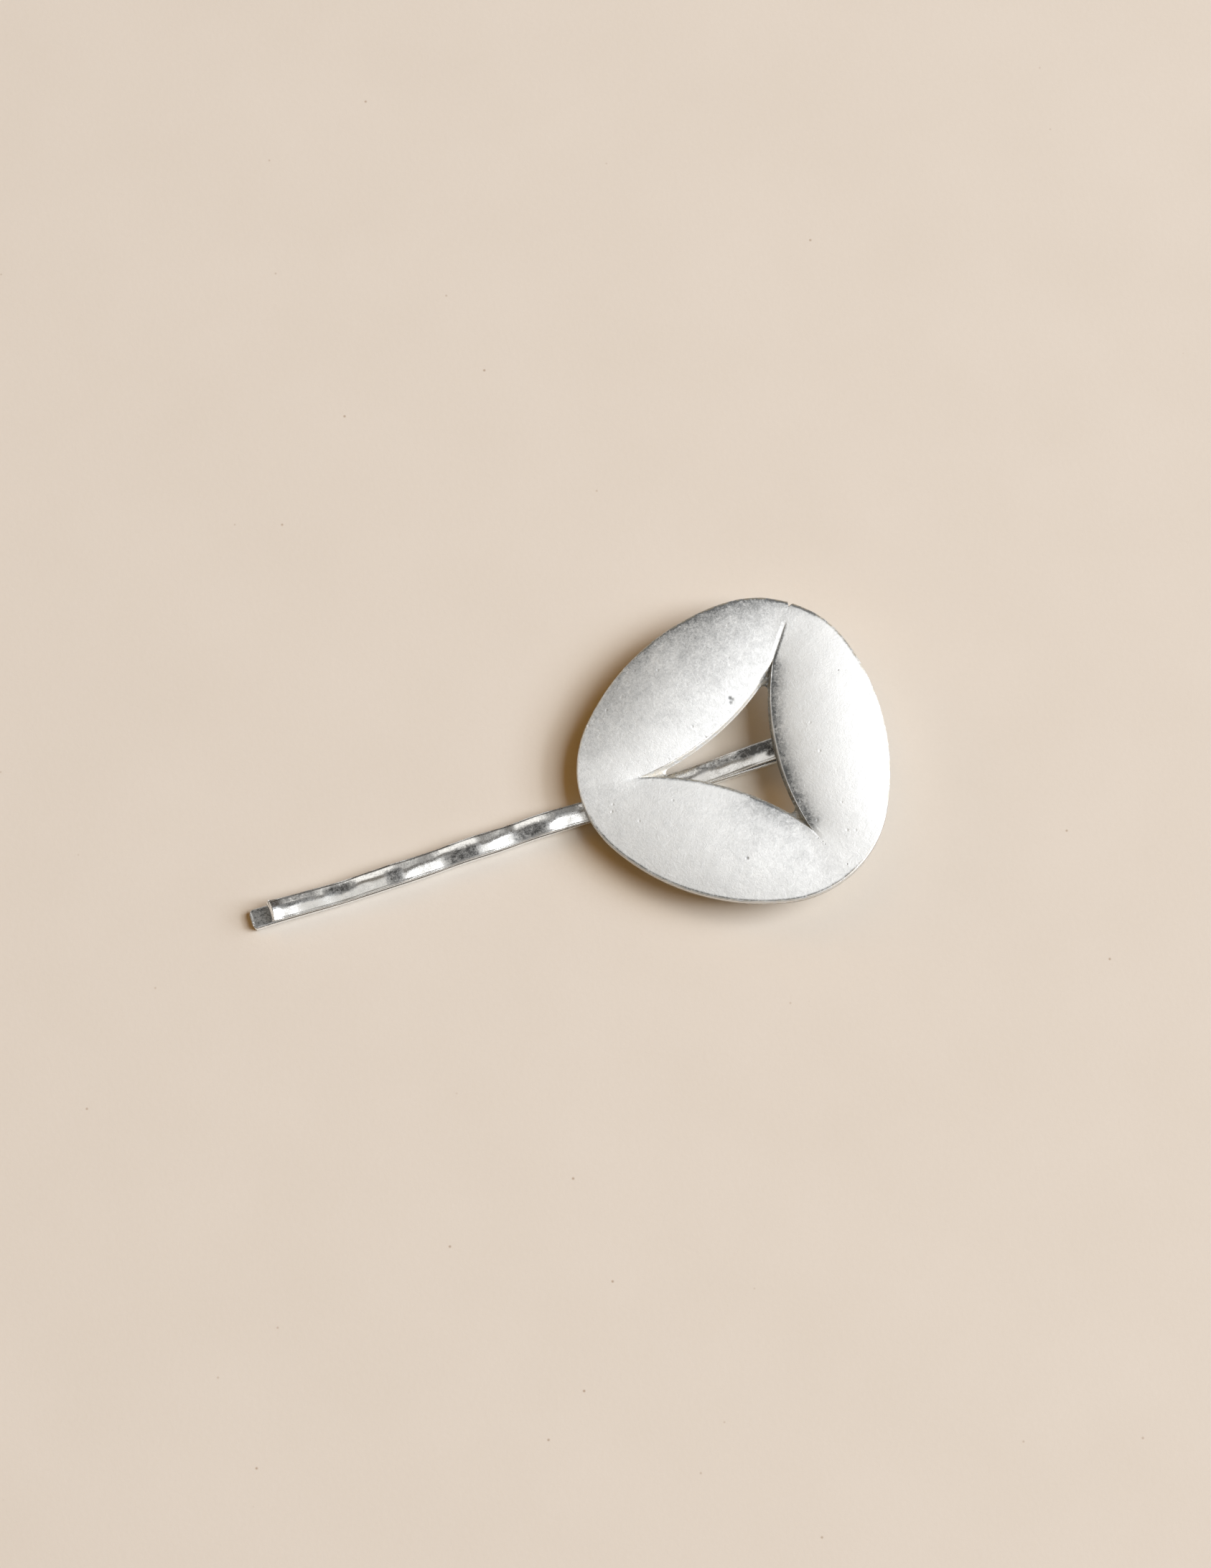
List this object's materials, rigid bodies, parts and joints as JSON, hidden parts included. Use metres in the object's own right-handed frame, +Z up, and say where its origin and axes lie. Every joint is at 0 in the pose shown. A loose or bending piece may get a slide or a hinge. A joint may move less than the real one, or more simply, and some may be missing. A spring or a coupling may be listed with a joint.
{
  "type": "hair clip",
  "caption": "Sprung hair pin, a flat metal strip bent double with a crimped upper leg, carrying a cast disc of crowned petal lobes round a curved-triangle opening.",
  "frame": {"origin": "middle of the whole object's footprint, on the surface that it lies on", "axes": "+X along the pin from its open tip towards the disc, +Z up out of the surface, towards the disc's crowned face"},
  "size_m": [0.0634, 0.0302, 0.0057],
  "materials": {
    "plated_brass": "antique silver plate, matt and finely grained, polished paler on the crowns",
    "plated_steel": "antique silver plate, tumbled, darker in the lows"
  },
  "bodies": {
    "root": {"petal_disc": "plated_brass", "bobby_pin": "plated_steel"}
  },
  "joints": []
}
